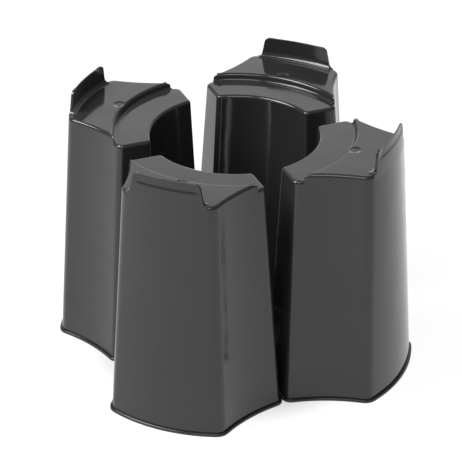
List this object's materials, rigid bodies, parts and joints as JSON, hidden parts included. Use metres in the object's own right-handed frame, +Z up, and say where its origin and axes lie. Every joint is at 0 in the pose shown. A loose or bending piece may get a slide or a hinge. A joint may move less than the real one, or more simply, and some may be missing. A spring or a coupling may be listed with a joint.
{
  "type": "water butt stand",
  "caption": "Stand of separate hollow plastic risers set in a ring, each with a stepped deck and an upright tab that keeps a round barrel in place.",
  "frame": {"origin": "on the floor, at the middle of the ring", "axes": "+Z up; +X towards the right riser, +Y towards the rear riser, -Y towards the front riser"},
  "size_m": [0.4656, 0.4656, 0.3355],
  "materials": {
    "black_polypropylene": "moulded gloss black polypropylene"
  },
  "bodies": {
    "front_riser": {"front_riser": "black_polypropylene"},
    "right_riser": {"right_riser": "black_polypropylene"},
    "rear_riser": {"rear_riser": "black_polypropylene"},
    "left_riser": {"left_riser": "black_polypropylene"}
  },
  "joints": [
    {"name": "right_slide", "type": "slide", "parent": "front_riser", "child": "right_riser", "axis": [0.7071, 0.7071, 0], "range_m": [0, 0.04243]},
    {"name": "rear_slide", "type": "slide", "parent": "front_riser", "child": "rear_riser", "axis": [0, 1, 0], "range_m": [0, 0.06]},
    {"name": "left_slide", "type": "slide", "parent": "front_riser", "child": "left_riser", "axis": [-0.7071, 0.7071, 0], "range_m": [0, 0.04243]}
  ]
}
